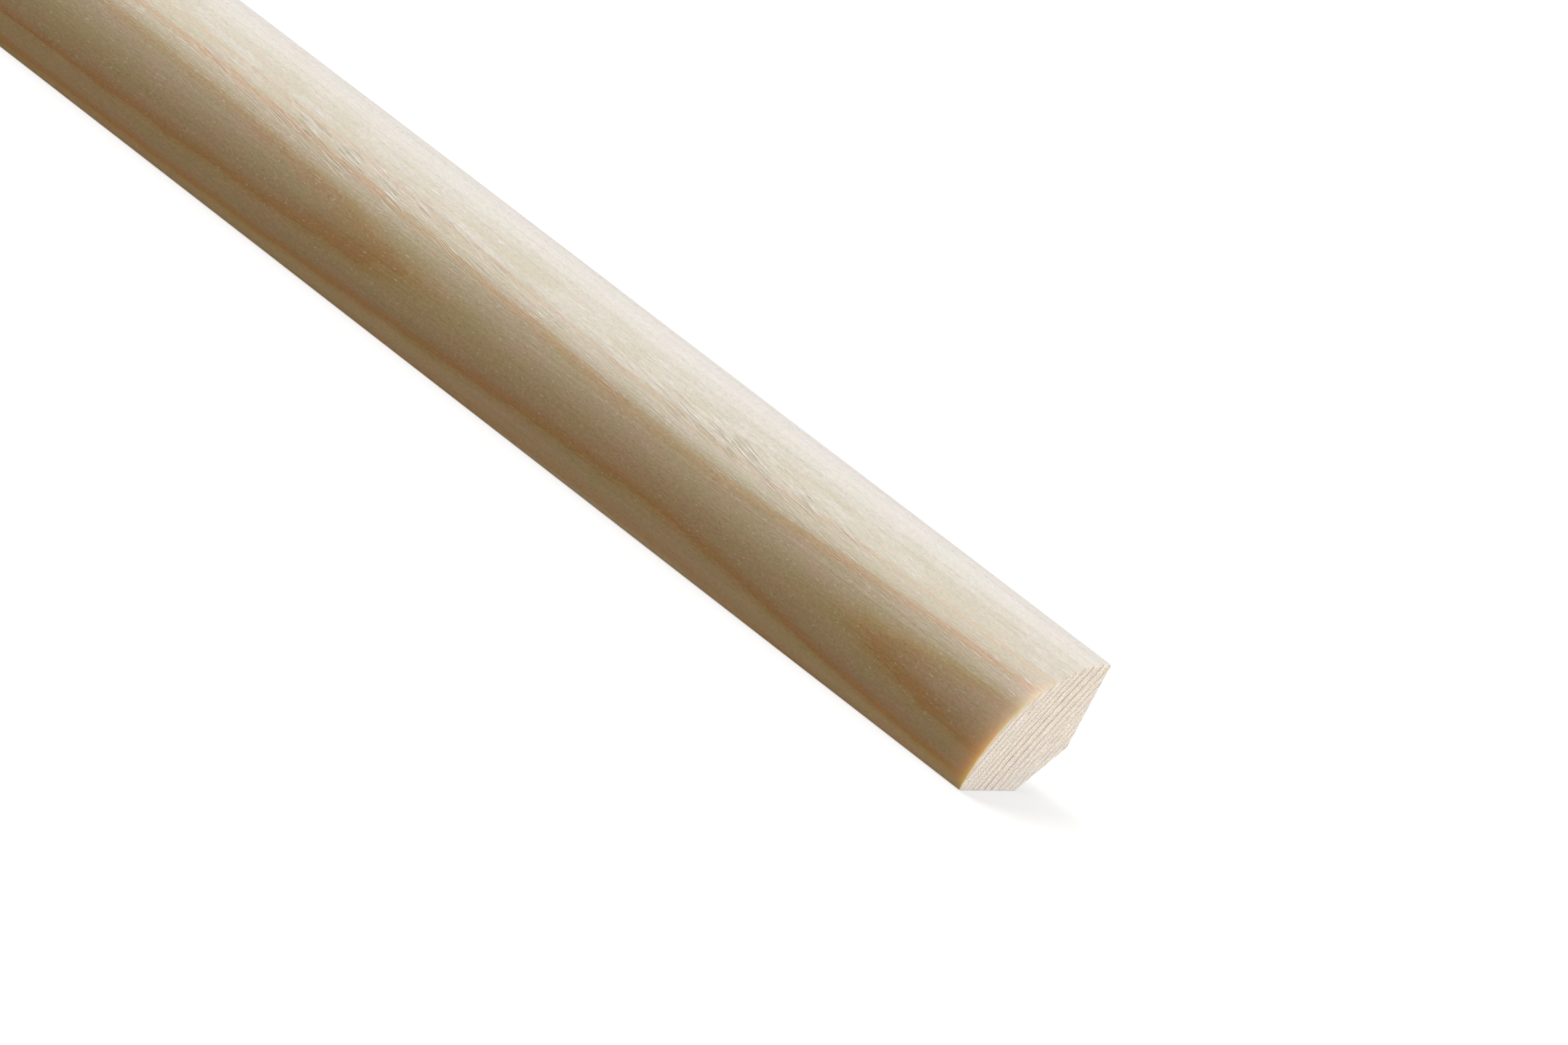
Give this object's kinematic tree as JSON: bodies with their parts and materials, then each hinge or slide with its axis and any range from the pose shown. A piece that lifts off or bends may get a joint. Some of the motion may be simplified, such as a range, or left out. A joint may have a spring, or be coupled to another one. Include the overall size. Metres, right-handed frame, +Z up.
{
  "type": "quarter round moulding",
  "caption": "Straight length of bare pine trim with a quarter-circle face between two flats at a right angle and a planed-off back corner, to cover the joint of a floor and a wall.",
  "frame": {"origin": "middle of the length, on the floor flat, half way across the section", "axes": "+X along the length, +Y out of the wall flat towards the wall, +Z up from the floor flat"},
  "size_m": [0.9, 0.015, 0.015],
  "materials": {
    "pine": "planed, bare, unfinished"
  },
  "bodies": {
    "root": {"quarter_round": "pine"}
  },
  "joints": []
}
